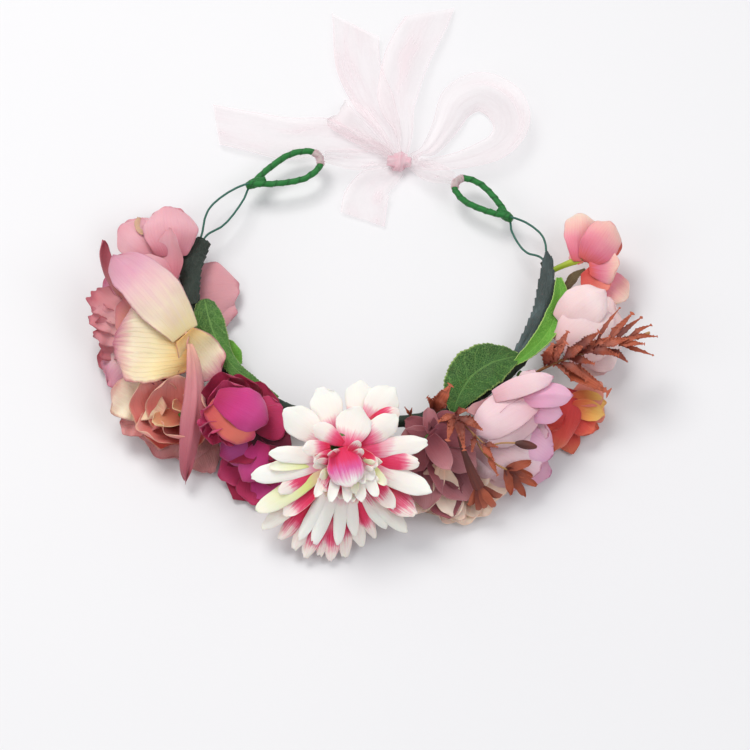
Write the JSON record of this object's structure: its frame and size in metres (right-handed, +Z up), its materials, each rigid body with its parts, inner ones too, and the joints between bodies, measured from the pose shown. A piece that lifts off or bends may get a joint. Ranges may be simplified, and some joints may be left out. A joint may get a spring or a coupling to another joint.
{
  "type": "flower crown",
  "caption": "Open wire head band wound in floral tape, silk flowers, leaves and sprigs round its front, wire eyelets behind, tied with an organza bow.",
  "frame": {"origin": "table height, under the middle of the whole outline, flowers and ribbon included, as the crown lies flat", "axes": "+Z up, -Y towards the front of the crown (the chrysanthemum), +Y towards the bow, +X to the right seen from the front and above"},
  "size_m": [0.3036, 0.3419, 0.0568],
  "materials": {
    "paper_wire": "matte",
    "dark_tape": "matte",
    "green_tape": "satin",
    "organza": "satin",
    "end_leaf": "matte",
    "dark_leaf": "matte",
    "bright_leaf": "matte",
    "pale_pink_petal": "matte",
    "cream_mauve_petal": "matte",
    "salmon_petal": "matte",
    "magenta_petal": "matte",
    "white_pink_petal": "matte",
    "mauve_petal": "matte",
    "peach_petal": "matte",
    "lilac_pink_petal": "satin",
    "coral_petal": "matte",
    "blush_petal": "matte",
    "blossom_petal": "matte",
    "lime_stem": "satin",
    "calyx": "matte",
    "terracotta_leaf": "satin"
  },
  "bodies": {
    "crown": {"outer_wire": "paper_wire", "inner_wire": "paper_wire", "band_tape": "dark_tape", "left_eye_tape": "green_tape", "right_eye_tape": "green_tape", "left_ribbon_turn": "organza", "right_ribbon_turn": "organza", "left_end_leaf": "end_leaf", "right_end_leaf": "end_leaf", "left_green_leaf": "dark_leaf", "right_broad_leaf": "dark_leaf", "small_light_leaf": "bright_leaf", "right_bright_leaf": "bright_leaf", "pale_rose_petals": "pale_pink_petal", "pale_rose_calyx": "calyx", "inner_petal": "pale_pink_petal", "garden_rose_petals": "cream_mauve_petal", "garden_rose_heart": "cream_mauve_petal", "garden_rose_calyx": "calyx", "lower_rose_petals": "salmon_petal", "lower_rose_calyx": "calyx", "magenta_peony_petals": "magenta_petal", "magenta_peony_heart": "magenta_petal", "magenta_peony_calyx": "calyx", "magenta_bud_petals": "magenta_petal", "magenta_bud_calyx": "calyx", "chrysanthemum_petals": "white_pink_petal", "chrysanthemum_heart": "white_pink_petal", "chrysanthemum_calyx": "calyx", "mauve_flower_petals": "mauve_petal", "mauve_flower_calyx": "calyx", "peach_flower_petals": "peach_petal", "peach_flower_calyx": "calyx", "upper_magnolia_petals": "lilac_pink_petal", "upper_magnolia_calyx": "calyx", "lower_magnolia_petals": "lilac_pink_petal", "lower_magnolia_calyx": "calyx", "coral_lily_petals": "coral_petal", "coral_lily_calyx": "calyx", "blush_rose_petals": "blush_petal", "blush_rose_calyx": "calyx", "spray_leaves": "terracotta_leaf", "spray_stem": "terracotta_leaf", "bell_sprig_leaves": "terracotta_leaf", "bell_sprig_stem": "terracotta_leaf", "small_terracotta_leaf": "terracotta_leaf"},
    "blossom": {"blossom_petals": "blossom_petal", "blossom_stem": "lime_stem"},
    "bow": {"bow_knot": "organza", "left_strand": "organza", "right_strand": "organza", "right_loop": "organza"},
    "left_tail": {"left_tail": "organza", "left_loop": "organza"},
    "back_tails": {"back_left_tail": "organza", "back_right_tail": "organza"},
    "front_tail": {"front_tail": "organza"}
  },
  "joints": [
    {"name": "bow_swing", "type": "hinge", "parent": "crown", "child": "bow", "pos_m": [0.00717, 0.06513, 0.0125], "axis": [0.9814, -0.1922, 0], "range_deg": [-75, 100]},
    {"name": "left_tail_lift", "type": "hinge", "parent": "bow", "child": "left_tail", "pos_m": [0.0022, 0.0843, 0.0012], "axis": [0, 1, 0], "range_deg": [-45, 40]},
    {"name": "back_tails_lift", "type": "hinge", "parent": "bow", "child": "back_tails", "pos_m": [0.0132, 0.0855, 0.004], "axis": [1, 0, 0], "range_deg": [-70, 75]},
    {"name": "front_tail_lift", "type": "hinge", "parent": "bow", "child": "front_tail", "pos_m": [0.0092, 0.065, 0.0012], "axis": [-1, 0, 0], "range_deg": [-70, 75]},
    {"name": "blossom_nod", "type": "hinge", "parent": "crown", "child": "blossom", "pos_m": [0.09696, 0.00072, 0.01625], "axis": [0.1023, -0.9948, 0], "range_deg": [-12, 25]}
  ]
}
